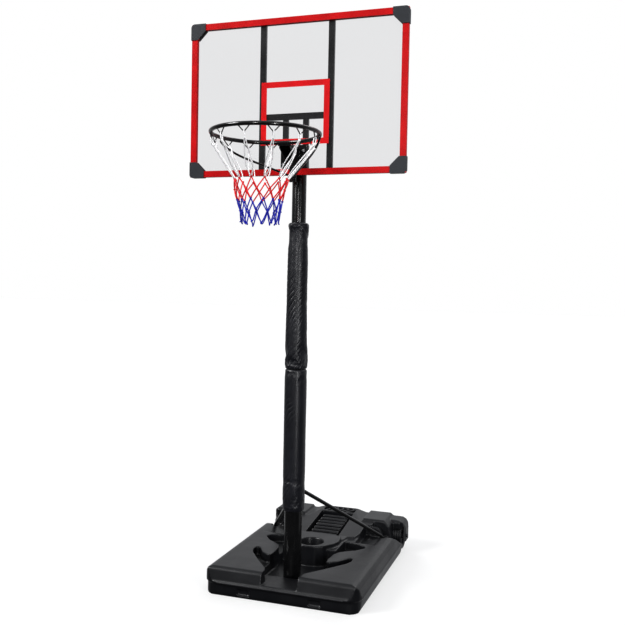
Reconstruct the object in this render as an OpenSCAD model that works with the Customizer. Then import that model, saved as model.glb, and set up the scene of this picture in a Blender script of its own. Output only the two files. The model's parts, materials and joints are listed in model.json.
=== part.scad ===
// Portable basketball hoop: a wheeled ballast tank, a telescoping round pole with
// foam pads, two rear struts, and a framed clear backboard with ring, brace and net.
// Millimetres. +X is the right-hand side for someone facing the board, -Y is the
// front (the ring side), +Z is up. The origin is on the floor under the pole's axis.

/* [Tank] */
// Overall width of the tank at its parting line
tank_w = 810; // [800:1:820]
// Distance from the pole's axis to the tank's front
tank_front = 200; // [196:1:206]
// Distance from the pole's axis to the tank's rear
tank_rear = 915; // [910:1:925]
// Height of the tank's flat top
tank_top = 138; // [136:1:140]
// Height of the floor of the channel in front of the pole
channel_floor = 80; // [77:1:83]
// Height of the raised block that holds the filler well
block_top = 160; // [156:1:164]
// Height of the blocks over the rear corners
fender_top = 194; // [190:1:196]

/* [Wheels] */
// Diameter of each transport wheel
wheel_d = 152; // [150:1:154]
// Width of each transport wheel
wheel_w = 54; // [50:1:55]
// Diameter of the steel axle
axle_d = 12; // [10:1:14]
// Distance from the pole's axis back to the axle
axle_y = 842; // [840:1:844]

/* [Pole] */
// Outer diameter of the lower pole
lower_pole_d = 88; // [87.6:0.2:88.4]
// Outer diameter of the middle pole
middle_pole_d = 84; // [83.8:0.1:84.1]
// Outer diameter of the upper pole
upper_pole_d = 70; // [68:1:72]
// Wall thickness of the poles
pole_wall = 2; // [1.6:0.1:2]
// Height of the lower pole's top end
lower_pole_top = 1112; // [1108:1:1116]
// Height of the middle pole's top end
middle_pole_top = 1832; // [1826:1:1836]
// Height of the upper pole's top end at the lowest setting
upper_pole_top = 2206; // [2200:1:2210]
// Height of the lower pad's lower edge
pad_bottom = 407; // [402:1:412]
// Height of the seam where the two pads meet
pad_seam = 1116; // [1112:1:1120]
// Height of the upper pad's top edge
pad_top = 1840; // [1838:1:1844]

/* [Backboard] */
// Width of the board over its rails
board_w = 1100; // [1080:2:1120]
// Height of the board over its rails
board_h = 755; // [745:1:765]
// Height of the board's lower edge above the floor
board_bottom = 2061; // [2055:1:2065]
// Distance from the pole's axis to the front of the rails
board_front = 94; // [92:1:96]
// Visible width of the rails
rail_w = 30; // [28:1:32]
// Depth of the rails, front to back
rail_d = 22; // [20:1:24]
// Thickness of the clear panel
panel_t = 3; // [2:0.5:4]

/* [Ring] */
// Inside diameter of the ring
ring_id = 460; // [457:1:463]
// Diameter of the steel rod of the ring
ring_rod = 18; // [16:1:19]
// Height of the ring's centre line above the floor
ring_z = 2195; // [2190:1:2200]
// Length of the net below the hooks
net_len = 355; // [340:5:365]

/* [Hidden] */
$fn = 48;

// Cutters run this far past the faces that they open.
eps = 1;
// Smallest gap between pieces that must not touch.
gap = 0.3;

tank_half = tank_w / 2;
wheel_r = wheel_d / 2;
// The wheels hang just clear of the floor until the tank is tipped.
axle_z = wheel_r + 3;
wheel_inner = 333;
well_in = wheel_inner - 5;
well_out = 394;
well_r = wheel_r + 5;
cover_out = 405;
cover_top = 178;
bore_gap = 0.05;

// Tops of the spine behind the filler well and of the band over the rear.
spine_top = 150;
band_top = 178;
crown_top = 196;

// Round filler well in the raised block, and its cap.
well_y = 300;
cup_top_r = 66;
cup_floor_r = 54;
cup_floor = 102;
filler_r = 22;
gasket_t = 2.5;

// The pit round the pole, and the pole's socket under it.
pit_floor = 51;
socket_floor = 40;
foot_plate = 5;

// Lug on the lower pole and the feet of the two struts.
lug_t = 8;
lug_y = 68;
lug_z = 500;
strut_d = 19;
strut_foot = [338, 630, 108.1];
strut_start = [22, 95, 481.2];
strut_end = [320, 598, 133];
// Slope of the strut seen from the side, and its heading seen from above.
strut_fall = atan2(strut_start[2] - strut_end[2], strut_end[1] - strut_start[1]);
strut_turn = atan2(strut_end[1] - strut_start[1], strut_end[0] - strut_start[0]);
tab_t = 4;
tab_w = 24;
tab_neck = 14;
bolt_d = 8;
bolt_hole = 8.4;

middle_pole_bottom = 760;
upper_pole_bottom = 795;
joint_bolt_z = 783;
knob_z = 1792;
boss_r = 11;
boss_out = 56;

lower_pad_d = 111;
upper_pad_d = 99;

board_top = board_bottom + board_h;
board_back = -board_front + rail_d;
panel_front = -board_front + 8;
panel_back = panel_front + panel_t;
groove_depth = 12;
bar_w = 30;
bar_d = 15;
bar_back = board_back + bar_d;
upright_x = 174;
strap_x = 51.5;
strap_w = 28;
cross_bar_z = 2331;
corner_arm = 78;
corner_skin = 3;
bracket_t = 5;
bracket_back = bar_back + bracket_t;
bracket_low = 2076;
bracket_high = 2204;

target_w = 348;
target_low = 2208;
target_h = 304;
target_line = 28;

ring_r = (ring_id + ring_rod) / 2;
ring_y = -456;
plate_low = board_bottom + rail_w + 6;
plate_t = 5;
plate_half = 66;
rim_bolt_z = [2112, 2176];
flange_top = ring_z - ring_rod / 2 - 0.2;
flange_t = 5;
hook_rod = 4;
hook_half = 24;
hook_drop = 24;
// Where the hooks sit round the ring: five in front and four up each side, which
// leave room for the bracket.
hook_turns = concat([for (i = [-2:2]) 270 + 30 * i],
    [for (i = [0:3]) each [75 - 26.25 * i, 105 + 26.25 * i]]);
brace_rod = 10;
brace_angle = 12;
brace_low = 2048;

net_top = ring_z - ring_rod / 2 - hook_drop - 14;

// A straight round rod between two points.
module rod(a, b, d) {
    v = b - a;
    translate(a)
        rotate([0, acos(v[2] / norm(v)), atan2(v[1], v[0])])
            cylinder(h = norm(v), d = d);
}

// A box given by its two opposite corners.
module block(a, b) {
    translate(a)
        cube(b - a);
}

// A round tube standing on the XY plane.
module tube(od, id, h) {
    difference() {
        cylinder(h = h, d = od);
        translate([0, 0, -eps])
            cylinder(h = h + 2 * eps, d = id);
    }
}

// Lies a cylinder along X, with its middle at the given point.
module across(c, r, len) {
    translate(c)
        rotate([0, 90, 0])
            cylinder(h = len, r = r, center = true);
}

// Lies a cylinder along Y, from the given point towards +Y.
module along_y(c, r, len) {
    translate(c)
        rotate([-90, 0, 0])
            cylinder(h = len, r = r);
}

// Draws its children on both sides of the middle plane.
module both_sides() {
    children();
    mirror([1, 0, 0])
        children();
}

// Extrudes a YZ outline along X, centred on the middle plane.
module profile_yz(half, pts) {
    rotate([90, 0, 90])
        translate([0, 0, -half])
            linear_extrude(2 * half)
                polygon(pts);
}

// Extrudes an XZ outline along Y, from y0 to y1.
module profile_xz(y0, y1, pts) {
    translate([0, y1, 0])
        rotate([90, 0, 0])
            linear_extrude(y1 - y0)
                polygon(pts);
}

// Plan of the slab with its two round front corners, drawn inside the tank's outline.
module slab_plan(inset, rear) {
    corner = 84;
    side = [for (a = [0:15:90])
        [tank_half - corner + (corner - inset) * cos(a),
            corner - tank_front - 4 - (corner - inset) * sin(a)]];
    polygon(concat([[-tank_half + inset, rear], [tank_half - inset, rear]], side,
        [for (i = [len(side) - 1:-1:0]) [-side[i][0], side[i][1]]]));
}

// Low front slab of the tank: an upper band that overhangs a set-back lower band.
module tank_slab() {
    slab_end = 594;
    slope_end = 750;
    seam = 60;
    intersection() {
        linear_extrude(tank_top)
            slab_plan(0, slope_end + 10);
        profile_yz(tank_half, [[-tank_front - 4, seam], [-tank_front - 4, seam + 7],
            [-tank_front + 3, seam + 13], [-tank_front + 18, 126], [-tank_front + 30, tank_top],
            [slab_end - 14, tank_top], [slab_end, tank_top - 4], [slope_end - 14, seam]]);
        profile_xz(-tank_front - 4, slope_end + 10, [[-tank_half, seam], [-tank_half, seam + 7],
            [-tank_half + 4, seam + 13], [-tank_half + 12, 112], [-tank_half + 26, 130],
            [-tank_half + 48, tank_top], [tank_half - 48, tank_top], [tank_half - 26, 130],
            [tank_half - 12, 112], [tank_half - 4, seam + 13], [tank_half, seam + 7],
            [tank_half, seam]]);
    }
    intersection() {
        linear_extrude(tank_top)
            slab_plan(7, slope_end + 10);
        profile_yz(tank_half, [[-tank_front + 10, 0], [-tank_front + 3, 14],
            [-tank_front - 4, seam + 1], [slope_end - 14, seam + 1], [slope_end - 2, 40],
            [slope_end, 0]]);
        profile_xz(-tank_front - 4, slope_end + 10, [[-tank_half + 17, 0], [-tank_half + 10, 14],
            [-tank_half + 6, seam + 1], [tank_half - 6, seam + 1], [tank_half - 10, 14],
            [tank_half - 17, 0]]);
    }
}

// Raised spine along the middle of the tank, which climbs to a band over the rear.
module tank_spine() {
    intersection() {
        linear_extrude(200)
            polygon([[-132, 380], [132, 380], [150, 470], [190, 480], [236, 640], [244, 700],
                [300, 712], [300, tank_rear - 20], [280, tank_rear], [-280, tank_rear],
                [-300, tank_rear - 20], [-300, 712], [-244, 700], [-236, 640], [-190, 480],
                [-150, 470]]);
        profile_yz(330, [[370, 0], [370, spine_top], [480, spine_top], [790, crown_top - 6],
            [tank_rear - 36, crown_top], [tank_rear - 12, 145], [tank_rear, 60],
            [tank_rear - 4, 0]]);
        profile_xz(360, tank_rear + 1, [[-330, -1], [-330, band_top], [-150, band_top],
            [-96, crown_top], [96, crown_top], [150, band_top], [330, band_top], [330, -1]]);
    }
    block([-326, 560, 0], [326, 780, 104]);
}

// Block over one rear corner, the step in front of it and the cover over its wheel.
module tank_fender() {
    front = 694;
    intersection() {
        profile_xz(front, tank_rear, [[176, 0], [160, 120], [178, fender_top], [302, fender_top],
            [334, 160], [346, 60], [340, 0]]);
        profile_yz(420, [[front, 0], [front, fender_top - 9], [front + 9, fender_top],
            [tank_rear - 36, fender_top], [tank_rear - 12, 150], [tank_rear, 60],
            [tank_rear - 4, 0]]);
    }
    profile_xz(front - 40, front - 10, [[200, 90], [200, 156], [206, 162], [270, 162], [292, 150],
        [304, 124], [306, 90]]);
    intersection() {
        linear_extrude(200)
            polygon([[300, 776], [376, 776], [394, 792], [cover_out, 832], [cover_out, 896],
                [390, 930], [300, 930]]);
        profile_yz(420, [[776, 40], [776, cover_top - 14], [788, cover_top],
            [tank_rear - 30, cover_top], [tank_rear - 10, 150], [tank_rear, 100],
            [tank_rear + 2, 40]]);
        profile_xz(760, 940, [[300, 40], [300, 220], [340, 220], [356, cover_top],
            [376, cover_top - 2], [392, cover_top - 14], [401, cover_top - 36],
            [cover_out, 120], [cover_out, 40]]);
    }
}

// Pit around the pole with its two pairs of rays, seen in plan on one side.
module pit_plan() {
    polygon([[-eps, -tank_front - 20], [92, -tank_front - 20], [92, -140], [104, -108],
        [160, -34], [204, 26], [254, 98], [268, 140], [266, 168], [250, 178], [236, 160],
        [204, 106], [170, 80], [152, 78], [146, 120], [152, 210], [168, 250], [204, 280],
        [240, 306], [282, 362], [270, 388], [214, 416], [160, 424], [-eps, 430]]);
}

// Raised block behind the pole that holds the filler well, seen in plan on one side.
module block_plan() {
    polygon([[-eps, 214], [46, 218], [84, 242], [122, 296], [138, 346], [134, 400],
        [120, 440], [-eps, 480]]);
}

// Part of the pit between two distances from the pole's axis, cut down to a floor.
module pit_cut(y0, y1, x0, x1, floor_z) {
    difference() {
        translate([0, 0, floor_z])
            linear_extrude(200)
                intersection() {
                    pit_plan();
                    translate([x0, y0])
                        square([x1 - x0, y1 - y0]);
                }
        translate([0, 0, -eps])
            linear_extrude(300)
                block_plan();
    }
}

module tank_cuts() {
    // Channel from the front, deep pit round the pole and shallower rays.
    both_sides() {
        pit_cut(-300, -49, -2, 150, channel_floor);
        pit_cut(-50, 260, -2, 150, pit_floor);
        pit_cut(-100, 460, 149, 349, 92);
    }
    // Shallow hollows that run back to the feet of the struts.
    both_sides() {
        profile_xz(430, 653, [[206, 108], [206, 220], [330, 220],
            [330, tank_top + eps], [312, tank_top - 2], [250, 116]]);
        block([246, 562, 108], [334, 653, 230]);
        block([300, 602, 108], [364, 653, 230]);
    }
    // Wheel wells, open downwards, with a side wall over the upper part.
    both_sides() {
        intersection() {
            across([(well_in + well_out) / 2, axle_y, axle_z], well_r, well_out - well_in);
            profile_xz(700, 1000, [[well_in - eps, -eps], [well_in - eps, 200], [374, 200],
                [382, 161], [well_out, 146], [well_out + eps, 140], [well_out + eps, -eps]]);
        }
        block([well_in, axle_y - well_r, -eps], [450, tank_rear + 30, 46]);
    }
    across([0, axle_y, axle_z], axle_d / 2 + 0.2, 2 * cover_out + 10);
    // Socket for the pole, filler well and filler hole.
    translate([0, 0, socket_floor])
        cylinder(h = 200, r = lower_pole_d / 2 + 0.4);
    translate([0, well_y, cup_floor])
        cylinder(h = block_top - cup_floor, r1 = cup_floor_r, r2 = cup_top_r);
    translate([0, well_y, block_top])
        cylinder(h = 40, r = cup_top_r);
    translate([0, well_y, cup_floor - 26])
        cylinder(h = 40, r = filler_r);
    // Screw holes under the struts' feet.
    both_sides()
        translate(strut_foot - [0, 0, 22])
            cylinder(h = 40, d = bolt_hole);
    // Shallow moulded panels in the lower front face.
    both_sides()
        block([150, -tank_front - 20, 14], [214, -tank_front + 14, 46]);
}

// Seven ribs across the spine and a patch of slanted ones on the rear band.
module tank_ribs() {
    pitch = 42;
    for (i = [0:6])
        translate([0, 504 + i * pitch, i * 5])
            profile_yz(80, [[-12, 70], [-10, 137], [-6, 145], [6, 145], [10, 137], [12, 70]]);
    for (i = [-2:2])
        translate([i * 32, 836, 130])
            rotate([0, 0, -35])
                translate([-6, -32, 0])
                    cube([12, 64, 60]);
}

module tank() {
    color([0.09, 0.09, 0.1])
        difference() {
            union() {
                difference() {
                    union() {
                        tank_slab();
                        tank_spine();
                        both_sides()
                            tank_fender();
                        linear_extrude(block_top)
                            intersection() {
                                union() {
                                    block_plan();
                                    mirror([1, 0])
                                        block_plan();
                                }
                                translate([-200, 100])
                                    square([400, 360]);
                            }
                    }
                    block([-96, 452, 114], [96, 786, 230]);
                    block([-94, 804, 168], [94, 868, 230]);
                }
                tank_ribs();
            }
            tank_cuts();
        }
}

module filler_cap() {
    top = cup_floor + gasket_t + gap;
    color([0.05, 0.05, 0.05])
        union() {
            translate([0, well_y, top])
                cylinder(h = 12, r = 30);
            translate([0, well_y, cup_floor - 20])
                cylinder(h = 24, r = filler_r - bore_gap);
            translate([0, well_y, top + 12])
                translate([-24, -4, -eps])
                    cube([48, 8, 11]);
        }
}

module cap_gasket() {
    color([0.15, 0.15, 0.15])
        translate([0, well_y, cup_floor])
            tube(58, 2 * filler_r + 2, gasket_t);
}

module axle() {
    color([0.7, 0.7, 0.72])
        across([0, axle_y, axle_z], axle_d / 2, 2 * cover_out + 8);
}

// Domed push-on caps on the axle's ends.
module axle_caps() {
    color([0.06, 0.06, 0.06])
        both_sides()
            translate([cover_out + 0.5, axle_y, axle_z])
                rotate([0, 90, 0])
                    difference() {
                        cylinder(h = 6.5, r1 = 12, r2 = 9);
                        translate([0, 0, -eps])
                            cylinder(h = 4.5 + eps, r = axle_d / 2 + 0.02);
                    }
}

// Moulded wheel with four treads round its rim, a web and a hub.
module wheel() {
    tread = 4;
    pitch = wheel_w / 4;
    groove = 3.5;
    outline = concat(
        [[axle_d / 2 + bore_gap, 0], [20, 0], [20, 18], [wheel_r - 22, 18], [wheel_r - 14, 2],
            [wheel_r - tread, 0]],
        [for (i = [0:3]) each [[wheel_r - tread, i * pitch + groove / 2],
            [wheel_r, i * pitch + groove / 2 + 1], [wheel_r, (i + 1) * pitch - groove / 2 - 1],
            [wheel_r - tread, (i + 1) * pitch - groove / 2]]],
        [[wheel_r - tread, wheel_w], [wheel_r - 14, wheel_w - 2], [wheel_r - 22, wheel_w - 14],
            [20, wheel_w - 14], [20, wheel_w], [axle_d / 2 + bore_gap, wheel_w]]);
    translate([wheel_inner, axle_y, axle_z])
        rotate([0, 90, 0])
            rotate_extrude($fn = 96)
                polygon(outline);
}

module wheel_right() {
    color([0.05, 0.05, 0.05])
        wheel();
}

module wheel_left() {
    color([0.05, 0.05, 0.05])
        mirror([1, 0, 0])
            wheel();
}

// Bent tab at the strut's upper end, drawn in the plane of X and the strut's slope.
module strut_head() {
    x0 = lug_t / 2 + gap;
    x1 = x0 + tab_t;
    in = strut_start[0];
    translate([0, lug_y, lug_z])
        rotate([-strut_fall, 0, 0]) {
            translate([0, 0, -tab_neck / 2])
                linear_extrude(tab_neck)
                    polygon([[x0, 0], [x0, 14.8], [in - 3.6, 29.8], [in + 1.9, 41.8],
                        [in + 5.5, 40.2], [in, 28.2], [x1, 13.2], [x1, 0]]);
            across([(x0 + x1) / 2, 0, 0], tab_w / 2, tab_t);
        }
}

// Bent tab at the strut's foot, drawn in the upright plane along the strut.
module strut_toe() {
    translate(strut_foot) {
        rotate([0, 0, strut_turn])
            translate([0, tab_neck / 2, 0])
                rotate([90, 0, 0])
                    linear_extrude(tab_neck)
                        polygon([[0, 0], [0, tab_t], [-13.1, tab_t], [-31.7, 24.2],
                            [-43.7, 31.5], [-45.7, 28.1], [-33.7, 20.8], [-14.9, 0]]);
        cylinder(h = tab_t, d = tab_w);
    }
}

// Right-hand strut: a tube with a flattened tab at each end.
module strut() {
    difference() {
        union() {
            rod(strut_start, strut_end, strut_d);
            strut_head();
            strut_toe();
        }
        across([0, lug_y, lug_z], bolt_hole / 2, 60);
        translate(strut_foot - [0, 0, 20])
            cylinder(h = 60, d = bolt_hole);
    }
}

module strut_right() {
    color([0.04, 0.04, 0.04])
        strut();
}

module strut_left() {
    color([0.04, 0.04, 0.04])
        mirror([1, 0, 0])
            strut();
}

// One bolt through both struts at the pole, and one at each foot.
module strut_bolts() {
    outer = lug_t / 2 + gap + tab_t;
    color([0.35, 0.35, 0.37]) {
        across([0, lug_y, lug_z], bolt_d / 2, 2 * outer + 14);
        both_sides()
            across([outer + 0.1 + 3, lug_y, lug_z], 7.5, 6, $fn = 6);
        both_sides()
            translate(strut_foot) {
                translate([0, 0, tab_t + 0.1])
                    cylinder(h = 6, r = 7.5, $fn = 6);
                translate([0, 0, -18])
                    cylinder(h = 26, d = bolt_d);
            }
    }
}

module lower_pole() {
    color([0.03, 0.03, 0.03])
        difference() {
            union() {
                translate([0, 0, socket_floor + foot_plate])
                    cylinder(h = lower_pole_top - socket_floor - foot_plate, d = lower_pole_d);
                block([-lug_t / 2, lower_pole_d / 2 - 4, lug_z - 20],
                    [lug_t / 2, lug_y + 14, lug_z + 20]);
            }
            translate([0, 0, 20])
                cylinder(h = lower_pole_top, d = lower_pole_d - 2 * pole_wall + 0.4);
            across([0, lug_y, lug_z], bolt_hole / 2, 60);
            across([0, 0, joint_bolt_z], bolt_hole / 2, 200);
        }
}

// Plastic cap under the lower pole, which sits in the tank's socket.
module foot_cap() {
    color([0.1, 0.1, 0.1]) {
        translate([0, 0, socket_floor + 0.1])
            cylinder(h = foot_plate - 0.2, r = lower_pole_d / 2);
        translate([0, 0, socket_floor + foot_plate - 0.2])
            tube(lower_pole_d - 2 * pole_wall - 0.2, lower_pole_d - 16, 22);
    }
}

module middle_pole() {
    color([0.03, 0.03, 0.03])
        difference() {
            union() {
                translate([0, 0, middle_pole_bottom])
                    cylinder(h = middle_pole_top - middle_pole_bottom, d = middle_pole_d);
                along_y([0, middle_pole_d / 2 - 4, knob_z], boss_r,
                    boss_out - middle_pole_d / 2 + 4);
            }
            translate([0, 0, middle_pole_bottom - eps])
                cylinder(h = 2000, d = middle_pole_d - 2 * pole_wall);
            across([0, 0, joint_bolt_z], bolt_hole / 2, 200);
            along_y([0, 20, knob_z], 5 + bore_gap, 60);
        }
}

// Through bolt that joins the lower and middle poles and stops the upper pole.
module pole_bolt() {
    half = lower_pole_d / 2;
    color([0.4, 0.4, 0.42]) {
        across([0, 0, joint_bolt_z], bolt_d / 2, 2 * half + 8);
        both_sides()
            across([half + 0.1 + 2, 0, joint_bolt_z], 7, 4, $fn = 6);
    }
}

// Plastic bush in the mouth of the middle pole that guides the upper pole.
module guide_bush() {
    bore = upper_pole_d + 2 * gap;
    color([0.1, 0.1, 0.1]) {
        translate([0, 0, middle_pole_top + 0.05])
            tube(middle_pole_d, bore, 5);
        translate([0, 0, middle_pole_top - 26])
            tube(middle_pole_d - 2 * pole_wall - 0.2, bore, 26.1);
    }
}

// Clamp knob at the back of the middle pole, with its screw.
module height_knob() {
    head_y = boss_out + gap + 1;
    color([0.08, 0.08, 0.08])
        difference() {
            union() {
                along_y([0, upper_pole_d / 2 + 0.8, knob_z], 5, head_y - upper_pole_d / 2 + 4);
                along_y([0, head_y, knob_z], 15, 6);
                along_y([0, head_y + 6, knob_z], 21, 16);
            }
            for (a = [0:60:300])
                translate([0, head_y, knob_z])
                    rotate([0, a, 0])
                        along_y([24, 5, 0], 7, 30);
        }
}

// Foam sleeve round the lower pole, notched at the back for the struts.
module lower_pad() {
    color([0.06, 0.06, 0.08])
        difference() {
            translate([0, 0, pad_bottom])
                tube(lower_pad_d, lower_pole_d + 2 * gap, pad_seam - pad_bottom - 0.5);
            block([-34, 20, pad_bottom - eps], [34, 90, 560]);
            across([0, 0, joint_bolt_z], 9, 104);
        }
}

// Foam sleeve round the middle pole, notched at the back for the knob.
module upper_pad() {
    color([0.06, 0.06, 0.08])
        difference() {
            translate([0, 0, pad_seam])
                tube(upper_pad_d, middle_pole_d + 2 * gap, pad_top - pad_seam - 4);
            block([-24, 20, knob_z - 26], [24, 90, pad_top + eps]);
        }
}

module upper_pole() {
    color([0.03, 0.03, 0.03])
        difference() {
            translate([0, 0, upper_pole_bottom])
                cylinder(h = upper_pole_top - upper_pole_bottom, d = upper_pole_d);
            translate([0, 0, upper_pole_bottom - eps])
                cylinder(h = 2000, d = upper_pole_d - 2 * pole_wall);
            for (z = rim_bolt_z)
                across([0, 0, z], bolt_hole / 2, 200);
        }
}

// Plastic bush on the foot of the upper pole that runs inside the middle pole.
module glide_bush() {
    color([0.85, 0.85, 0.85])
        translate([0, 0, upper_pole_bottom + 4])
            tube(middle_pole_d - 2 * pole_wall - 2 * gap, upper_pole_d + 0.2, 60);
}

module upper_cap() {
    color([0.08, 0.08, 0.08]) {
        translate([0, 0, upper_pole_top + 0.1])
            cylinder(h = 4, d1 = upper_pole_d, d2 = upper_pole_d - 6);
        translate([0, 0, upper_pole_top - 16])
            cylinder(h = 16.1, d = upper_pole_d - 2 * pole_wall - 0.2);
    }
}

// Steel bracket behind the straps: its cheeks hold the upper pole.
module pole_bracket() {
    cheek = upper_pole_d / 2 + 0.2;
    color([0.05, 0.05, 0.05])
        difference() {
            union() {
                block([-plate_half, bar_back, bracket_low], [plate_half, bracket_back, bracket_high]);
                both_sides()
                    block([cheek, bracket_back - eps, bracket_low],
                        [cheek + bracket_t, 22, bracket_high]);
            }
            for (z = rim_bolt_z) {
                across([0, 0, z], bolt_hole / 2, 200);
                both_sides()
                    along_y([strap_x, -150, z], bolt_hole / 2, 150);
            }
        }
}

module bracket_bolts() {
    outer = upper_pole_d / 2 + 0.2 + bracket_t;
    color([0.45, 0.45, 0.47])
        for (z = rim_bolt_z) {
            across([0, 0, z], bolt_d / 2, 2 * outer + 16);
            both_sides()
                across([outer + 0.1 + 3, 0, z], 7.5, 6, $fn = 6);
        }
}

// Upright strap between the lower rail and the cross bar.
module strap() {
    difference() {
        block([strap_x - strap_w / 2, board_back, board_bottom + 4],
            [strap_x + strap_w / 2, bar_back, cross_bar_z]);
        for (z = rim_bolt_z)
            along_y([strap_x, -150, z], bolt_hole / 2, 150);
    }
}

module strap_right() {
    color([0.05, 0.05, 0.05])
        strap();
}

module strap_left() {
    color([0.05, 0.05, 0.05])
        mirror([1, 0, 0])
            strap();
}

module cross_bar() {
    end = upright_x - bar_w / 2;
    color([0.05, 0.05, 0.05])
        block([-end, board_back, cross_bar_z], [end, bar_back, cross_bar_z + bar_w]);
}

// Upright bar behind the panel, screwed to the upper and lower rails.
module upright() {
    difference() {
        block([upright_x - bar_w / 2, board_back, board_bottom + 3],
            [upright_x + bar_w / 2, bar_back, board_top - 3]);
        for (z = [board_bottom + rail_w / 2, board_top - rail_w / 2])
            along_y([upright_x, board_back - eps, z], 3.2, bar_d + 2 * eps);
    }
}

module upright_right() {
    color([0.05, 0.05, 0.05])
        upright();
}

module upright_left() {
    color([0.05, 0.05, 0.05])
        mirror([1, 0, 0])
            upright();
}

// Level rail with a groove for the panel in the face that looks towards -Z.
module level_rail() {
    difference() {
        block([-board_w / 2, -board_front, 0], [board_w / 2, board_back, rail_w]);
        block([-board_w / 2 + rail_w - groove_depth - eps, panel_front - gap, -eps],
            [board_w / 2 - rail_w + groove_depth + eps, panel_back + gap, groove_depth + eps]);
        both_sides()
            along_y([upright_x, board_back - 10, rail_w / 2], 3.1, 20);
    }
}

module rail_top() {
    color([0.85, 0.03, 0.05])
        translate([0, 0, board_top - rail_w])
            level_rail();
}

module rail_bottom() {
    color([0.85, 0.03, 0.05])
        translate([0, 0, board_bottom + rail_w])
            mirror([0, 0, 1])
                level_rail();
}

// Upright rail at the board's right-hand edge.
module side_rail() {
    inner = board_w / 2 - rail_w;
    difference() {
        block([inner, -board_front, board_bottom + rail_w],
            [board_w / 2, board_back, board_top - rail_w]);
        block([inner - eps, panel_front - gap, board_bottom],
            [inner + groove_depth + eps, panel_back + gap, board_top]);
    }
}

module rail_right() {
    color([0.85, 0.03, 0.05])
        side_rail();
}

module rail_left() {
    color([0.85, 0.03, 0.05])
        mirror([1, 0, 0])
            side_rail();
}

// Moulded cap over the frame's lower right corner: a thin shell with a slanted
// inner edge and a rounded outer corner.
module corner_cap() {
    x1 = board_w / 2 + corner_skin;
    z0 = board_bottom - corner_skin;
    arm = corner_arm;
    leg = rail_w + 2 * corner_skin;
    r = 18;
    difference() {
        translate([0, board_back + corner_skin, 0])
            rotate([90, 0, 0])
                linear_extrude(rail_d + 2 * corner_skin)
                    difference() {
                        polygon([[x1, z0], [x1, z0 + arm], [x1 - leg, z0 + arm],
                            [x1 - arm, z0 + leg], [x1 - arm, z0]]);
                        difference() {
                            translate([x1 - r, z0 - eps])
                                square([r + eps, r + eps]);
                            translate([x1 - r, z0 + r])
                                circle(r);
                        }
                    }
        block([x1 - arm - eps, -board_front - 0.1, board_bottom - 0.1],
            [board_w / 2 + 0.1, board_back + 0.1, board_bottom + arm]);
    }
}

module corner_bottom_right() {
    color([0.07, 0.07, 0.08])
        corner_cap();
}

module corner_bottom_left() {
    color([0.07, 0.07, 0.08])
        mirror([1, 0, 0])
            corner_cap();
}

// Turns a lower corner into the matching upper corner.
module to_top() {
    translate([0, 0, board_bottom + board_top])
        mirror([0, 0, 1])
            children();
}

module corner_top_right() {
    color([0.07, 0.07, 0.08])
        to_top()
            corner_cap();
}

module corner_top_left() {
    color([0.07, 0.07, 0.08])
        to_top()
            mirror([1, 0, 0])
                corner_cap();
}

// Screws from behind, through the uprights and into the rails.
module frame_screws() {
    color([0.5, 0.5, 0.52])
        for (z = [board_bottom + rail_w / 2, board_top - rail_w / 2])
            both_sides() {
                along_y([upright_x, board_back - 9, z], 3, 9 + bar_d + 2);
                along_y([upright_x, bar_back + 0.1, z], 6, 3.5);
            }
}

module panel() {
    fit = 1;
    half = board_w / 2 - rail_w + groove_depth - fit;
    color([0.93, 0.93, 0.93, 0.6])
        difference() {
            block([-half, panel_front, board_bottom + rail_w - groove_depth + fit],
                [half, panel_back, board_top - rail_w + groove_depth - fit]);
            for (z = rim_bolt_z)
                both_sides()
                    along_y([strap_x, -150, z], bolt_hole / 2, 150);
        }
}

// Painted aiming square on the front of the panel.
module target_square() {
    t = 0.6;
    color([0.85, 0.03, 0.05])
        difference() {
            block([-target_w / 2, panel_front - t - 0.05, target_low],
                [target_w / 2, panel_front - 0.05, target_low + target_h]);
            block([-target_w / 2 + target_line, panel_front - 10, target_low + target_line],
                [target_w / 2 - target_line, panel_front + 10, target_low + target_h - target_line]);
        }
}

// Welded bracket in front of the panel that carries the ring and its brace.
module rim_bracket() {
    back = panel_front - 0.05;
    face = back - plate_t;
    reach = ring_y + ring_r - 4;
    color([0.04, 0.04, 0.04])
        difference() {
            union() {
                block([-plate_half, face, plate_low], [plate_half, back, 2204]);
                block([-32, reach, flange_top - flange_t], [32, face + eps, flange_top]);
                both_sides()
                    translate([24, 0, 0])
                        rotate([90, 0, 90])
                            linear_extrude(4)
                                polygon([[face + eps, plate_low + 4], [reach + 6, flange_top - 14],
                                    [reach + 6, flange_top - 1], [face + eps, flange_top - 1]]);
                block([-17, -board_front - 6, brace_low - 22], [17, -board_front - 1, plate_low + 18]);
                block([-17, -board_front - 2, plate_low], [17, face + eps, plate_low + 18]);
            }
            for (z = rim_bolt_z)
                both_sides()
                    along_y([strap_x, -150, z], bolt_hole / 2, 150);
        }
}

// Spacer tubes between the panel and the straps.
module rim_spacers() {
    color([0.6, 0.6, 0.62])
        for (z = rim_bolt_z)
            both_sides()
                translate([strap_x, panel_back + 0.05, z])
                    rotate([-90, 0, 0])
                        tube(18, bolt_hole, board_back - panel_back - 0.1);
}

// Four bolts that clamp bracket, panel, straps and pole bracket together.
module rim_bolts() {
    face = panel_front - plate_t - 0.05;
    color([0.6, 0.6, 0.62])
        for (z = rim_bolt_z)
            both_sides() {
                along_y([strap_x, face - 2, z], bolt_d / 2, bracket_back - face + 10);
                along_y([strap_x, face - 5.6, z], 7.5, 5.5, $fn = 6);
                along_y([strap_x, bracket_back + 0.1, z], 7.5, 6, $fn = 6);
            }
}

module ring() {
    color([0.03, 0.03, 0.03])
        translate([0, ring_y, ring_z])
            rotate_extrude($fn = 96)
                translate([ring_r, 0])
                    circle(d = ring_rod, $fn = 24);
}

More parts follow.
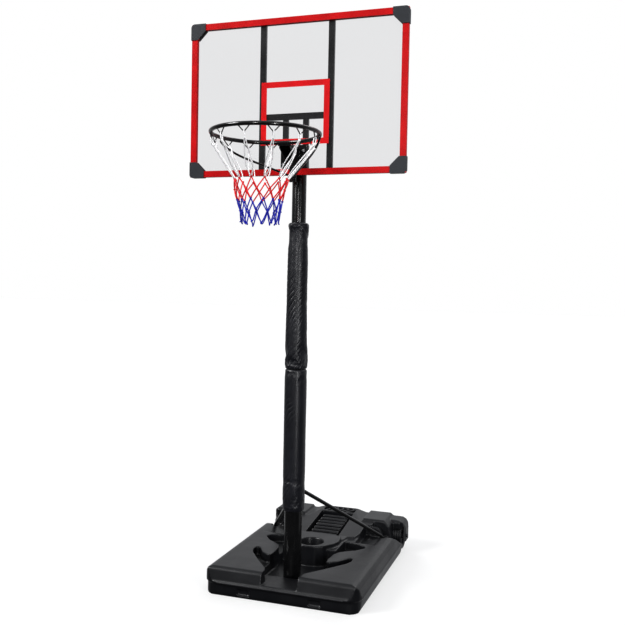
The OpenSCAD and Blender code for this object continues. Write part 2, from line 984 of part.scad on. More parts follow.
// One V-shaped hook under the ring, drawn where the ring crosses the X axis.
module net_hook() {
    top = -ring_rod / 2 - 0.1;
    low = -ring_rod / 2 - hook_drop - hook_rod / 2;
    profile_yz(hook_rod / 2, [[-hook_half - 2, top], [-hook_half + 3, top], [0, low + 5],
        [hook_half - 3, top], [hook_half + 2, top], [2, low], [-2, low]]);
}

// Hooks for the net, all round the ring.
module net_hooks() {
    color([0.03, 0.03, 0.03])
        for (turn = hook_turns)
            translate([0, ring_y, ring_z])
                rotate([0, 0, turn])
                    translate([ring_r, 0, 0])
                        net_hook();
}

// Bent rod from the underside of the ring down to the bracket's tongue.
module brace() {
    side = [ring_r * cos(brace_angle), ring_y + ring_r * sin(brace_angle)];
    weld = ring_z - ring_rod / 2 - 0.1;
    bend = [side[0], side[1], weld - 22];
    low = [brace_rod / 2 + gap, -board_front - 6 - gap - brace_rod / 2, brace_low];
    knee = bend + 0.2 * (low - bend) + [0, 0, -16];
    foot = low + [0, 0, -16];
    difference() {
        union() {
            rod(low, knee, brace_rod);
            translate(knee)
                sphere(d = brace_rod + 1);
            rod(knee, bend, brace_rod);
            translate(bend)
                sphere(d = brace_rod + 1);
            translate(bend)
                cylinder(h = weld - bend[2], d = brace_rod);
            translate(low)
                sphere(d = brace_rod + 1);
            translate(foot)
                cylinder(h = low[2] - foot[2], d = brace_rod);
        }
        // The two rods meet side by side on the middle plane.
        block([-60, -200, brace_low - 60], [gap / 2, 0, brace_low + 60]);
        // Flat against the bracket's tongue.
        block([-60, -board_front - 6 - gap / 2, brace_low - 60], [60, 0, brace_low + 60]);
    }
}

module brace_right() {
    color([0.03, 0.03, 0.03])
        brace();
}

module brace_left() {
    color([0.03, 0.03, 0.03])
        mirror([1, 0, 0])
            brace();
}

// Thin funnel that holds the space of the corded net.
module net() {
    wall = 3;
    knee = net_top - 0.45 * net_len;
    low = net_top - net_len;
    color([0.9, 0.9, 0.95])
        translate([0, ring_y, 0])
            rotate_extrude($fn = 48)
                polygon([[204, net_top], [124, knee], [84, low], [84 - wall, low],
                    [124 - wall, knee], [204 - wall, net_top]]);
}

tank();
filler_cap();
cap_gasket();
axle();
axle_caps();
wheel_left();
wheel_right();
strut_left();
strut_right();
strut_bolts();
lower_pole();
foot_cap();
middle_pole();
pole_bolt();
guide_bush();
height_knob();
lower_pad();
upper_pad();
upper_pole();
glide_bush();
upper_cap();
pole_bracket();
bracket_bolts();
strap_left();
strap_right();
cross_bar();
upright_left();
upright_right();
rail_top();
rail_bottom();
rail_left();
rail_right();
corner_top_left();
corner_top_right();
corner_bottom_left();
corner_bottom_right();
frame_screws();
panel();
target_square();
rim_bracket();
rim_spacers();
rim_bolts();
ring();
net_hooks();
brace_left();
brace_right();
net();
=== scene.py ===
"""Looks of the portable basketball hoop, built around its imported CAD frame.

Metres, in the CAD frame: +X to the right for someone facing the board, -Y to the front,
+Z up, origin on the floor under the pole's axis.
"""

import json
import math

import bmesh
import bpy
import numpy as np
from mathutils import Matrix, Vector, noise


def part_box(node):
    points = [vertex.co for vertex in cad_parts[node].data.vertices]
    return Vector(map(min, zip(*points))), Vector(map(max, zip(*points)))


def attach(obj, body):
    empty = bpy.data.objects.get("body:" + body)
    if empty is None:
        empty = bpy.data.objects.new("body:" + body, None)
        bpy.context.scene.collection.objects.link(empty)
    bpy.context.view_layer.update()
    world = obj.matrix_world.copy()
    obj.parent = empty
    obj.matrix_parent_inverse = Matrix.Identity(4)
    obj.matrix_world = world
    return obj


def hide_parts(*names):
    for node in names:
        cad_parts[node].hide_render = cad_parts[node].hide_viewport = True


MM = 0.001
UP = Vector((0, 0, 1))

# The pads' cloth settles in this many frames.
CLOTH_FRAMES = 20
# The net's foot hangs this far to the left of the ring's middle.
NET_LEAN = 22 * MM
# Below 1 it deepens the dark tones and leaves white as it is.
VIEW_GAMMA = 0.8
# Brightness of the room that the lights leave, and what its back and ceiling add.
WORLD_BASE = 0.06
WORLD_BEHIND = 0.6
WORLD_ABOVE = 0.8

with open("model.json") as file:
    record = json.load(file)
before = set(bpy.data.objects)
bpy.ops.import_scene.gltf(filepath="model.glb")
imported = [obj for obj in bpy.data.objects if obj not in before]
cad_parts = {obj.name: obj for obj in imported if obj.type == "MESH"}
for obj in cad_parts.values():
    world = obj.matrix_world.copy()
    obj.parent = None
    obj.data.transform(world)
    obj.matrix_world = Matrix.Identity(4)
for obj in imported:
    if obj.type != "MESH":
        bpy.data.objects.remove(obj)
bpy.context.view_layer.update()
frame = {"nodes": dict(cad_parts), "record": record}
nodes = frame["nodes"]


# ---------------------------------------------------------------- node helpers


class Shader:
    """One procedural material: a Principled shader and the nodes that feed it."""

    def __init__(self, name, **constants):
        self.material = bpy.data.materials.new(name)
        self.material.use_nodes = True
        self.tree = self.material.node_tree
        self.tree.nodes.clear()
        self.out = self.tree.nodes.new("ShaderNodeOutputMaterial")
        self.surface = self.tree.nodes.new("ShaderNodeBsdfPrincipled")
        self.link(self.surface.outputs["BSDF"], self.out.inputs["Surface"])
        for socket, value in constants.items():
            self.surface.inputs[socket.replace("_", " ")].default_value = value
        self.coords = self.tree.nodes.new("ShaderNodeTexCoord").outputs["Object"]

    def link(self, source, target):
        self.tree.links.new(source, target)

    def node(self, kind, inputs=(), **settings):
        made = self.tree.nodes.new(kind)
        for key, value in settings.items():
            setattr(made, key, value)
        for socket, value in dict(inputs).items():
            if isinstance(value, bpy.types.NodeSocket):
                self.link(value, made.inputs[socket])
            else:
                made.inputs[socket].default_value = value
        return made

    def noise(self, scale, detail=4.0, roughness=0.55, vector=None):
        inputs = {"Vector": vector or self.coords, "Scale": scale, "Detail": detail, "Roughness": roughness}
        return self.node("ShaderNodeTexNoise", inputs).outputs["Fac"]

    def stretched(self, scale):
        return self.node("ShaderNodeMapping", {"Vector": self.coords, "Scale": scale}).outputs["Vector"]

    def math(self, operation, a, b=0.0):
        made = self.tree.nodes.new("ShaderNodeMath")
        made.operation = operation
        for i, value in enumerate((a, b)):
            if isinstance(value, bpy.types.NodeSocket):
                self.link(value, made.inputs[i])
            else:
                made.inputs[i].default_value = value
        return made.outputs[0]

    def spread(self, fac, low, high, from_low=0.3, from_high=0.7):
        """Maps a factor onto a range of values."""
        inputs = {"Value": fac, "From Min": from_low, "From Max": from_high, "To Min": low, "To Max": high}
        return self.node("ShaderNodeMapRange", inputs).outputs["Result"]

    def ramp(self, fac, *stops):
        made = self.node("ShaderNodeValToRGB", {"Fac": fac})
        elements = made.color_ramp.elements
        while len(elements) < len(stops):
            elements.new(0.5)
        for element, (place, colour) in zip(elements, stops):
            element.position = place
            element.color = (*colour, 1.0)
        return made.outputs["Color"]

    def mix(self, fac, a, b):
        made = self.tree.nodes.new("ShaderNodeMix")
        made.data_type = "RGBA"
        self.link(fac, made.inputs["Factor"])
        for index, value in ((6, a), (7, b)):
            if isinstance(value, bpy.types.NodeSocket):
                self.link(value, made.inputs[index])
            else:
                made.inputs[index].default_value = (*value, 1.0)
        return made.outputs[2]

    def bump(self, height, depth, before=None):
        """Bump of a real depth in metres."""
        inputs = {"Height": height, "Strength": 1.0, "Distance": depth}
        if before is not None:
            inputs["Normal"] = before
        return self.node("ShaderNodeBump", inputs).outputs["Normal"]

    def set(self, socket, value):
        self.link(value, self.surface.inputs[socket])


# ------------------------------------------------------------------- materials


def moulded_plastic(name, dark, light, rough, grain=0.00012):
    """Textured moulded plastic with fine grain, faint flow marks and lighter scuff streaks."""
    s = Shader(name, IOR=1.49)
    cloud = s.noise(7.0, 5.0)
    fine = s.noise(900.0, 3.0, 0.6)
    scuff = s.noise(38.0, 8.0, 0.72, s.stretched((1.0, 1.0, 5.0)))
    marks = s.spread(scuff, 0.0, 1.0, 0.6, 0.78)
    scuffed = tuple(c * 1.9 for c in light)
    s.set("Base Color", s.mix(marks, s.ramp(cloud, (0.3, dark), (0.7, light)), scuffed))
    duller = s.math("MULTIPLY", marks, 0.12)
    s.set("Roughness", s.math("ADD", s.spread(cloud, rough - 0.05, rough + 0.05), duller))
    s.set("Normal", s.bump(fine, grain, s.bump(s.noise(16.0, 2.0), 0.0007)))
    return s.material


def powder_coat(name, colour, rough, coat=0.35, shine=0.5):
    """Sprayed coat on steel: orange peel, faint dulling and a clear top."""
    s = Shader(name, IOR=1.5, Coat_Weight=coat, Coat_Roughness=0.12, Specular_IOR_Level=shine)
    cloud = s.noise(11.0, 5.0)
    bright = tuple(min(1.0, c * 1.35 + 0.004) for c in colour)
    s.set("Base Color", s.ramp(cloud, (0.35, colour), (0.75, bright)))
    s.set("Roughness", s.spread(s.noise(60.0, 6.0, 0.7), rough - 0.06, rough + 0.08))
    s.set("Normal", s.bump(s.noise(420.0, 2.0), 0.00002))
    return s.material


def clear_sheet():
    """Clear polycarbonate: mostly see-through, with a faint milky haze and rubbed marks."""
    s = Shader("clear_sheet", IOR=1.58, Roughness=0.09)
    rubbed = s.noise(3.0, 6.0, 0.65, s.stretched((0.6, 1.0, 2.2)))
    s.set("Base Color", s.ramp(rubbed, (0.3, (0.74, 0.745, 0.76)), (0.7, (0.86, 0.865, 0.875))))
    s.set("Normal", s.bump(s.noise(5.0, 2.0), 0.0004))
    clear = s.node("ShaderNodeBsdfTransparent", {"Color": (0.905, 0.906, 0.91, 1.0)}).outputs[0]
    mixed = s.node("ShaderNodeMixShader", {"Fac": s.spread(rubbed, 0.010, 0.022)})
    s.link(clear, mixed.inputs[1])
    s.link(s.surface.outputs["BSDF"], mixed.inputs[2])
    s.link(mixed.outputs[0], s.out.inputs["Surface"])
    return s.material


def coated_nylon():
    """Dark coated nylon: a tight plain weave wrapped round the pole, with a soft sheen."""
    s = Shader("pad_nylon", IOR=1.5, Sheen_Weight=0.08, Sheen_Roughness=0.35, Coat_Weight=0.3,
               Coat_Roughness=0.24)
    split = s.node("ShaderNodeSeparateXYZ", {"Vector": s.coords})
    cover_radius = 0.055
    turn = s.math("ARCTAN2", split.outputs["X"], split.outputs["Y"])
    around = s.math("MULTIPLY", turn, cover_radius)
    thread_pitch = 1.6 * MM
    pitch = 2 * math.pi / thread_pitch
    warp = s.math("SINE", s.math("MULTIPLY", around, pitch))
    weft = s.math("SINE", s.math("MULTIPLY", split.outputs["Z"], pitch))
    weave = s.math("MULTIPLY", warp, weft)
    cloud = s.noise(9.0, 6.0, 0.6)
    base = s.ramp(cloud, (0.3, (0.0035, 0.0038, 0.006)), (0.7, (0.0075, 0.008, 0.0125)))
    s.set("Base Color", s.mix(s.spread(weave, 0.0, 0.35, 0.2, 1.0), base, (0.02, 0.0225, 0.034)))
    s.set("Roughness", s.spread(cloud, 0.36, 0.5))
    s.set("Normal", s.bump(weave, 0.00005, s.bump(s.noise(70.0, 4.0, 0.55), 0.0006)))
    return s.material


def braided_cord(name, dark, light):
    """Braided polyester cord: crossing strands along the cord's own length."""
    s = Shader(name, IOR=1.5, Sheen_Weight=0.25, Sheen_Roughness=0.4)
    uv = s.tree.nodes.new("ShaderNodeUVMap").outputs["UV"]
    split = s.node("ShaderNodeSeparateXYZ", {"Vector": uv})
    strand_pitch = 4.2 * MM
    along = s.math("MULTIPLY", split.outputs["X"], 2 * math.pi / strand_pitch)
    turn = s.math("MULTIPLY", split.outputs["Y"], 2 * math.pi * 2)
    one = s.math("SINE", s.math("ADD", along, turn))
    two = s.math("SINE", s.math("SUBTRACT", along, turn))
    strands = s.math("MAXIMUM", one, two)
    worn = s.noise(45.0, 6.0, 0.7)
    tone = s.math("ADD", s.spread(strands, 0.2, 0.9, -0.4, 1.0), s.spread(worn, -0.25, 0.15))
    s.set("Base Color", s.ramp(tone, (0.0, dark), (1.0, light)))
    s.set("Roughness", s.spread(worn, 0.6, 0.82))
    s.set("Normal", s.bump(strands, 0.0005))
    return s.material


def zinc_steel():
    s = Shader("zinc_steel", Metallic=1.0)
    blotch = s.noise(120.0, 6.0, 0.65)
    s.set("Base Color", s.ramp(blotch, (0.3, (0.46, 0.47, 0.49)), (0.7, (0.68, 0.68, 0.69))))
    s.set("Roughness", s.spread(blotch, 0.26, 0.42))
    s.set("Normal", s.bump(s.noise(1100.0, 3.0), 0.00004))
    return s.material


def pale_floor():
    s = Shader("pale_floor", Roughness=0.75)
    s.set("Base Color", s.ramp(s.noise(1.5, 3.0), (0.3, (0.24, 0.24, 0.24)), (0.7, (0.26, 0.26, 0.26))))
    s.surface.inputs["Emission Color"].default_value = (1.0, 1.0, 1.0, 1.0)
    s.surface.inputs["Emission Strength"].default_value = 0.64
    return s.material


TANK = moulded_plastic("tank_plastic", (0.0042, 0.0045, 0.0058), (0.0066, 0.0070, 0.0088), 0.36)
BLACK_PLASTIC = moulded_plastic("black_plastic", (0.0055, 0.0055, 0.0068), (0.009, 0.0094, 0.0115), 0.4)
CORNER_PLASTIC = moulded_plastic("corner_plastic", (0.013, 0.0155, 0.021), (0.021, 0.025, 0.032), 0.5)
WHITE_PLASTIC = moulded_plastic("white_plastic", (0.7, 0.7, 0.68), (0.8, 0.8, 0.78), 0.3)
RUBBER = moulded_plastic("seal_rubber", (0.03, 0.03, 0.03), (0.045, 0.045, 0.045), 0.75)
BLACK_PAINT = powder_coat("black_paint", (0.0035, 0.0035, 0.004), 0.2)
RED_PAINT = powder_coat("red_paint", (0.41, 0.001, 0.003), 0.4, coat=0.04, shine=0.18)
TARGET_RED = powder_coat("target_red", (0.48, 0.0015, 0.005), 0.42, coat=0.04, shine=0.2)
STEEL = zinc_steel()
CLEAR = clear_sheet()
NYLON = coated_nylon()
CORDS = {
    "white": braided_cord("cord_white", (0.88, 0.88, 0.90), (0.985, 0.985, 0.99)),
    "red": braided_cord("cord_red", (0.62, 0.004, 0.010), (0.86, 0.012, 0.022)),
    "blue": braided_cord("cord_blue", (0.004, 0.008, 0.30), (0.012, 0.022, 0.52)),
}

FINISH = {
    "tank_plastic": TANK, "black_plastic": BLACK_PLASTIC, "white_plastic": WHITE_PLASTIC,
    "seal_rubber": RUBBER, "bolt_steel": STEEL, "black_paint": BLACK_PAINT, "red_paint": RED_PAINT,
    "pad_fabric": NYLON, "clear_sheet": CLEAR, "net_cord": CORDS["white"],
}


def dress_cad():
    """Gives every CAD node its finish, and softens the corners of the boxy ones."""
    slots = {p["node"]: p["material_slot"] for p in frame["record"]["subparts"]}
    sharp = {"cap_gasket", "net", "tank", "lower_pad", "upper_pad"}
    bevel_mm = {"panel": 0.4, "target_square": 0.1, "frame_screws": 0.5, "rim_bolts": 0.7,
                "strut_bolts": 0.7, "pole_bolt": 0.7, "bracket_bolts": 0.7, "rim_spacers": 0.4,
                "filler_cap": 1.6, "height_knob": 1.6, "corner": 3.0, "rail": 1.6, "upright": 1.4,
                "strap": 1.4, "cross_bar": 1.4, "pole_bracket": 1.0, "rim_bracket": 1.2}
    for name, node in nodes.items():
        finish = FINISH[slots[name]]
        if name.startswith("corner_"):
            finish = CORNER_PLASTIC
        if name == "target_square":
            finish = TARGET_RED
        node.data.materials.clear()
        node.data.materials.append(finish)
        if name in sharp:
            continue
        width = next((w for key, w in bevel_mm.items() if name.startswith(key)), 0.6)
        weld = node.modifiers.new("weld", "WELD")
        weld.merge_threshold = 2e-5
        bevel = node.modifiers.new("bevel", "BEVEL")
        bevel.width = width * MM
        bevel.segments = 3
        bevel.limit_method = "ANGLE"
        bevel.angle_limit = math.radians(35)
        bevel.harden_normals = True
        bevel.use_clamp_overlap = True


# --------------------------------------------------------------- mesh builders


def add_mesh(name, verts, faces, material, body, uvs=None):
    """A smooth-shaded piece that rides on a body and takes the finish it is given."""
    mesh = bpy.data.meshes.new(name)
    mesh.from_pydata([tuple(v) for v in verts], [], [tuple(f) for f in faces])
    if uvs is not None:
        layer = mesh.uv_layers.new(name="UVMap")
        flat = [c for face in uvs for uv in face for c in uv]
        layer.data.foreach_set("uv", flat)
    mesh.materials.append(material)
    mesh.update()
    mesh.shade_smooth()
    obj = bpy.data.objects.new(name, mesh)
    bpy.context.scene.collection.objects.link(obj)
    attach(obj, body)
    return obj


class Bag:
    """Collects swept tubes and lumps, then makes one piece of them."""

    def __init__(self):
        self.verts, self.faces, self.uvs = [], [], []

    def sweep(self, points, radius, sides=8, closed=False):
        """A round tube along points; the radius may be a list with one value for each point."""
        points = [Vector(p) for p in points]
        count = len(points)
        radii = radius if isinstance(radius, (list, tuple)) else [radius] * count
        first = len(self.verts)
        side = None
        gone = 0.0
        lengths = []
        for i, p in enumerate(points):
            if i:
                gone += (p - points[i - 1]).length
            lengths.append(gone)
            before = points[i - 1] if i or closed else p
            after = points[(i + 1) % count] if i + 1 < count or closed else p
            tangent = (after - before).normalized()
            if side is None:
                side = tangent.orthogonal().normalized()
            side = (side - tangent * side.dot(tangent)).normalized()
            up = tangent.cross(side)
            for k in range(sides):
                a = 2 * math.pi * k / sides
                self.verts.append(p + (side * math.cos(a) + up * math.sin(a)) * radii[i])
        rings = count if closed else count - 1
        for i in range(rings):
            j = (i + 1) % count
            u0 = lengths[i]
            u1 = lengths[i + 1] if i + 1 < count else gone + (points[0] - points[-1]).length
            for k in range(sides):
                m = (k + 1) % sides
                self.faces.append((first + i * sides + k, first + i * sides + m,
                                   first + j * sides + m, first + j * sides + k))
                v0, v1 = k / sides, (k + 1) / sides
                self.uvs.append(((u0, v0), (u0, v1), (u1, v1), (u1, v0)))
        if not closed:
            for base, order in ((first, -1), (first + (count - 1) * sides, 1)):
                ring = [base + k for k in range(sides)][::order]
                self.faces.append(tuple(ring))
                self.uvs.append(tuple((0.0, k / sides) for k in range(sides)))

    def lump(self, centre, size, rings=7, sides=10):
        """A small rounded lump, such as a pulled-tight knot."""
        centre = Vector(centre)
        turns = [math.pi * i / rings for i in range(rings + 1)]
        points = [centre + Vector((0, 0, size * 1.15 * math.cos(turn))) for turn in turns]
        radii = [max(0.15, math.sin(turn)) * size for turn in turns]
        self.sweep(points, radii, sides)

    def piece(self, name, material, body, slot):
        return add_mesh(name, self.verts, self.faces, material, body, self.uvs)


def smooth_line(points, steps=6):
    """Catmull-Rom curve through the points."""
    points = [Vector(p) for p in points]
    padded = [points[0] * 2 - points[1], *points, points[-1] * 2 - points[-2]]
    line = []
    for i in range(1, len(padded) - 2):
        a, b, c, d = padded[i - 1:i + 3]
        for k in range(steps):
            t = k / steps
            line.append(0.5 * (2 * b + (c - a) * t + (2 * a - 5 * b + 4 * c - d) * t * t
                               + (3 * b - a - 3 * c + d) * t ** 3))
    line.append(points[-1])
    return line


def positions(mesh):
    """The positions of the mesh's points, one row for each."""
    flat = np.empty(len(mesh.vertices) * 3)
    mesh.vertices.foreach_get("co", flat)
    return flat.reshape(-1, 3)


def move_points(mesh, places):
    mesh.vertices.foreach_set("co", places.ravel())
    mesh.update()


def apply_modifiers(obj):
    """Replaces the piece's mesh by the one that its modifiers make."""
    depsgraph = bpy.context.evaluated_depsgraph_get()
    made = bpy.data.meshes.new_from_object(obj.evaluated_get(depsgraph))
    obj.modifiers.clear()
    obj.data = made


# ------------------------------------------------------------------------ tank


def tank_shell():
    """The blow-moulded shell: the CAD tank with every corner rounded over."""
    shell = bpy.data.objects.new("tank_shell", nodes["tank"].data.copy())
    bpy.context.scene.collection.objects.link(shell)
    voxel = 4 * MM
    remesh = shell.modifiers.new("remesh", "REMESH")
    remesh.mode = "VOXEL"
    remesh.voxel_size = voxel
    remesh.use_smooth_shade = True
    smooth = shell.modifiers.new("smooth", "SMOOTH")
    smooth.factor = 0.5
    smooth.iterations = 5
    thin = shell.modifiers.new("thin", "DECIMATE")
    thin.ratio = 0.4
    apply_modifiers(shell)
    shell.data.shade_smooth()
    shell.data.materials.clear()
    shell.data.materials.append(TANK)
    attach(shell, "root")
    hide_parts("tank")


# ---------------------------------------------------------------------- struts


def strut_piece(side):
    """A round tube crimped flat at both ends, each flat rounded off at its tip."""
    node = "strut_right" if side > 0 else "strut_left"
    lo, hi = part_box(node)
    tab, thick, tube = 12 * MM, 4 * MM, 9.5 * MM
    x_in = min(abs(lo.x), abs(hi.x))
    x_out = max(abs(lo.x), abs(hi.x))
    pin = Vector((x_in + thick / 2, lo.y + tab, hi.z - tab))
    foot = Vector((x_out - tab, hi.y - tab, lo.z + thick / 2))
    start = Vector((x_in + 18 * MM, pin.y + 27 * MM, pin.z - 19 * MM))
    end = foot + Vector((-18 * MM, -32 * MM, 23 * MM))
    run = (end - start).normalized()
    slope = Vector((0, run.y, run.z)).normalized()
    level = Vector((run.x, run.y, 0)).normalized()
    sideways = Vector((1, 0, 0))
    wide_top = slope.cross(sideways).normalized()
    wide_low = level.cross(UP).normalized()

    # Each station: centre, wide direction, thin direction, half width, half thickness.
    stations = []
    for k in range(7):
        a = math.pi / 2 * k / 6
        half_w = tab * math.sin(a) + 1e-4
        stations.append((pin - slope * tab * math.cos(a), wide_top, sideways, half_w, thick / 2))
    neck = pin + slope * 13 * MM
    stations.append((neck, wide_top, sideways, tab, thick / 2))
    bend = (start - neck).normalized()
    steps = 8
    for k in range(1, steps + 1):
        t = k / steps
        ease = t * t * (3 - 2 * t)
        thin = (run if t > 0.5 else bend).cross(wide_top).normalized()
        stations.append((neck.lerp(start + run * 20 * MM, t), wide_top, thin,
                         tab + (tube - tab) * ease, thick / 2 + (tube - thick / 2) * ease))
    first, last = start + run * 24 * MM, end - run * 24 * MM
    for k in range(9):
        t = k / 8
        wide = wide_top.lerp(wide_low, t).normalized()
        wide = (wide - run * wide.dot(run)).normalized()
        stations.append((first.lerp(last, t), wide, run.cross(wide), tube, tube))
    tube_thin = run.cross(wide_low).normalized()
    sign = 1 if tube_thin.z > 0 else -1
    for k in range(steps):
        t = (k + 0.5) / steps
        ease = t * t * (3 - 2 * t)
        centre = (end - run * 20 * MM).lerp(foot - level * 14 * MM, t)
        thin = tube_thin.lerp(UP * sign, ease)
        stations.append((centre, wide_low, thin.normalized(), tube + (tab - tube) * ease,
                         tube + (thick / 2 - tube) * ease))
    for k in range(7):
        a = math.pi / 2 * k / 6
        reach = -10 * MM if k == 0 else tab * math.sin(a)
        half = tab if k == 0 else tab * math.cos(a) + 1e-4
        stations.append((foot + level * reach, wide_low, UP * sign, half, thick / 2))

    sides = 24
    verts, faces = [], []
    for centre, wide, thin, half_w, half_t in stations:
        flatness = 1 - min(1.0, half_t / max(half_w, 1e-6))
        for k in range(sides):
            a = 2 * math.pi * k / sides
            power = 1 - 0.55 * flatness
            c = math.copysign(abs(math.cos(a)) ** power, math.cos(a))
            s = math.copysign(abs(math.sin(a)) ** power, math.sin(a))
            p = centre + wide * (c * half_w) + thin * (s * half_t)
            verts.append(Vector((p.x * side, p.y, p.z)))
    for i in range(len(stations) - 1):
        for k in range(sides):
            m = (k + 1) % sides
            faces.append((i * sides + k, i * sides + m, (i + 1) * sides + m, (i + 1) * sides + k))
    faces.append(tuple(range(sides))[::-1])
    faces.append(tuple((len(stations) - 1) * sides + k for k in range(sides)))
    piece = add_mesh("crimped_" + node, verts, faces, BLACK_PAINT, "root")
    fix_normals(piece)
    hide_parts(node)


def fix_normals(obj):
    work = bmesh.new()
    work.from_mesh(obj.data)
    bmesh.ops.recalc_face_normals(work, faces=work.faces)
    work.to_mesh(obj.data)
    work.free()


# ------------------------------------------------------------------------ pads


class Pad:
    """A foam wrap in a nylon cover, closed up the back, with an opening at one end."""

    def __init__(self, node, pole_r, profile, slot_z, slot_half, slot_down, wrinkle, seed):
        self.node, self.pole_r, self.profile = node, pole_r, profile
        self.lo, self.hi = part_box(node)
        self.slot_z, self.slot_half, self.slot_down = slot_z, slot_half, slot_down
        self.wrinkle, self.seed = wrinkle, seed
        self.cols = 96
        self.rows = max(24, round((self.hi.z - self.lo.z) / (6 * MM)))

    def radius(self, t):
        """Outer radius of the smooth pad at height share t, from the profile's points."""
        ts, rs = zip(*self.profile)
        return float(np.interp(t, ts, rs))

    def gap_angle(self, z):
        """Half the angle left open at the back at this height."""
        closed = 1.2 * MM / self.radius(0.5)
        depth = (self.slot_z - z) if self.slot_down else (z - self.slot_z)
        t = min(1.0, max(0.0, depth / (30 * MM)))
        wide = self.slot_half / self.radius(0.5)
        return closed + (wide - closed) * math.sin(t * math.pi / 2)

    def build(self):
        """Outer and inner skins on one grid, joined at both ends and along the back."""
        cols, rows = self.cols, self.rows
        outer, inner = [], []
        for j in range(rows + 1):
            t = j / rows
            z = self.lo.z + (self.hi.z - self.lo.z) * t
            open_half = self.gap_angle(z)
            end = min(t, 1 - t) * (self.hi.z - self.lo.z)
            lip = max(0.0, 1 - end / (5 * MM))
            for i in range(cols + 1):
                share = i / cols
                a = math.pi / 2 + open_half + (2 * math.pi - 2 * open_half) * share
                side = min(share, 1 - share) * cols * 3.4 * MM
                edge = max(0.0, 1 - side / (6 * MM))
                r = self.radius(t)
                r -= (r - self.pole_r) * 0.42 * (max(lip, edge) ** 2)
                outer.append(Vector((r * math.cos(a), r * math.sin(a), z)))
                inner.append(Vector((self.pole_r * math.cos(a), self.pole_r * math.sin(a), z)))
        width = cols + 1
        base = len(outer)
        faces = []
        for j in range(rows):
            for i in range(cols):
                q = (j * width + i, j * width + i + 1, (j + 1) * width + i + 1, (j + 1) * width + i)
                faces.append(q)
                faces.append(tuple(base + v for v in q[::-1]))
        top = rows * width
        for i in range(cols):
            faces.append((i + 1, i, base + i, base + i + 1))
            faces.append((top + i, top + i + 1, base + top + i + 1, base + top + i))
        for j in range(rows):
            left, right = j * width, j * width + cols
            faces.append((left, left + width, base + left + width, base + left))
            faces.append((right + width, right, base + right, base + right + width))
        self.outer_count = base
        return add_mesh(self.node + "_cover", outer + inner, faces, NYLON, "root")

    def simulate(self, piece, stretch, cap):
        """Lets the cover buckle: its cloth is a little too large for the foam that it wraps."""
        mesh = piece.data
        count = len(mesh.vertices)
        held = piece.vertex_groups.new(name="held")
        width = self.cols + 1
        for v in range(count):
            if v >= self.outer_count:
                held.add([v], 1.0, "REPLACE")
                continue
            j, i = divmod(v, width)
            if i in (0, self.cols) or j in (0, self.rows):
                held.add([v], 1.0, "REPLACE")
        before = positions(mesh)
        seeded = before.copy()
        for v in range(self.outer_count):
            x, y, z = before[v]
            a = math.atan2(y, x)
            r = math.hypot(x, y)
            fold = noise.noise(Vector((a * 3.0 - z * 14, z * 22 + self.seed, self.seed * 1.7)))
            r += 0.9 * MM * fold * self.wrinkle
            seeded[v, 0], seeded[v, 1] = r * math.cos(a), r * math.sin(a)
        move_points(mesh, seeded)
        modifier = piece.modifiers.new("cloth", "CLOTH")
        cloth = modifier.settings
        cloth.quality = 6
        cloth.mass = 0.25
        cloth.tension_stiffness = 18
        cloth.compression_stiffness = 18
        cloth.shear_stiffness = 8
        cloth.bending_stiffness = 0.05
        cloth.tension_damping = 20
        cloth.compression_damping = 20
        cloth.use_pressure = True
        cloth.uniform_pressure_force = 1.5
        cloth.shrink_min = -stretch
        cloth.vertex_group_mass = "held"
        cloth.pin_stiffness = 1.0
        cloth.effector_weights.gravity = 0
        modifier.collision_settings.use_collision = False
        scene = bpy.context.scene
        scene.frame_start, scene.frame_end = 1, CLOTH_FRAMES
        for f in range(1, CLOTH_FRAMES + 1):
            scene.frame_set(f)
        depsgraph = bpy.context.evaluated_depsgraph_get()
        settled = positions(piece.evaluated_get(depsgraph).data)
        piece.modifiers.clear()
        scene.frame_set(1)
        moved = settled - before
        length = np.linalg.norm(moved, axis=1, keepdims=True)
        moved *= np.minimum(1.0, cap / np.maximum(length, 1e-9))
        moved[~np.isfinite(moved)] = 0.0
        moved[self.outer_count:] = 0.0
        after = before + moved
        radial = np.hypot(after[:, 0], after[:, 1])
        least = self.pole_r + 1.5 * MM
        push = np.maximum(1.0, least / np.maximum(radial, 1e-9))
        outer = slice(0, self.outer_count)
        after[outer, 0] *= push[outer]
        after[outer, 1] *= push[outer]
        move_points(mesh, after)

    def refine(self, piece):
        """One subdivision, then the fine slanting creases of thin coated cloth."""
        fine = piece.modifiers.new("fine", "SUBSURF")
        fine.levels = fine.render_levels = 1
        apply_modifiers(piece)
        mesh = piece.data
        co = positions(mesh)
        span = self.hi.z - self.lo.z
        for v, (x, y, z) in enumerate(co):
            r = math.hypot(x, y)
            t = (z - self.lo.z) / span
            if r < self.pole_r + 2 * MM or not 0.0 < t < 1.0:
                continue
            a = math.atan2(y, x)
            ends = min(1.0, min(t, 1 - t) * span / (12 * MM))
            patch = self.wrinkle - 0.7 + 1.5 * noise.noise(Vector((x * 14, y * 14, z * 6 + self.seed)))
            wobble = 1.8 * noise.noise(Vector((x * 26, y * 26, z * 12 + self.seed)))
            crease = 1 - abs(math.sin(z * 105 - a * 7 + wobble))
            depth = min(1.3, max(0.0, patch)) * ends * crease ** 3 * 2.4 * MM
            small = 0.35 * MM * self.wrinkle * noise.noise(Vector((x * 90, y * 90, z * 50)))
            k = (r - depth + small * ends) / r
            co[v, 0], co[v, 1] = x * k, y * k
        move_points(mesh, co)
        mesh.shade_smooth()


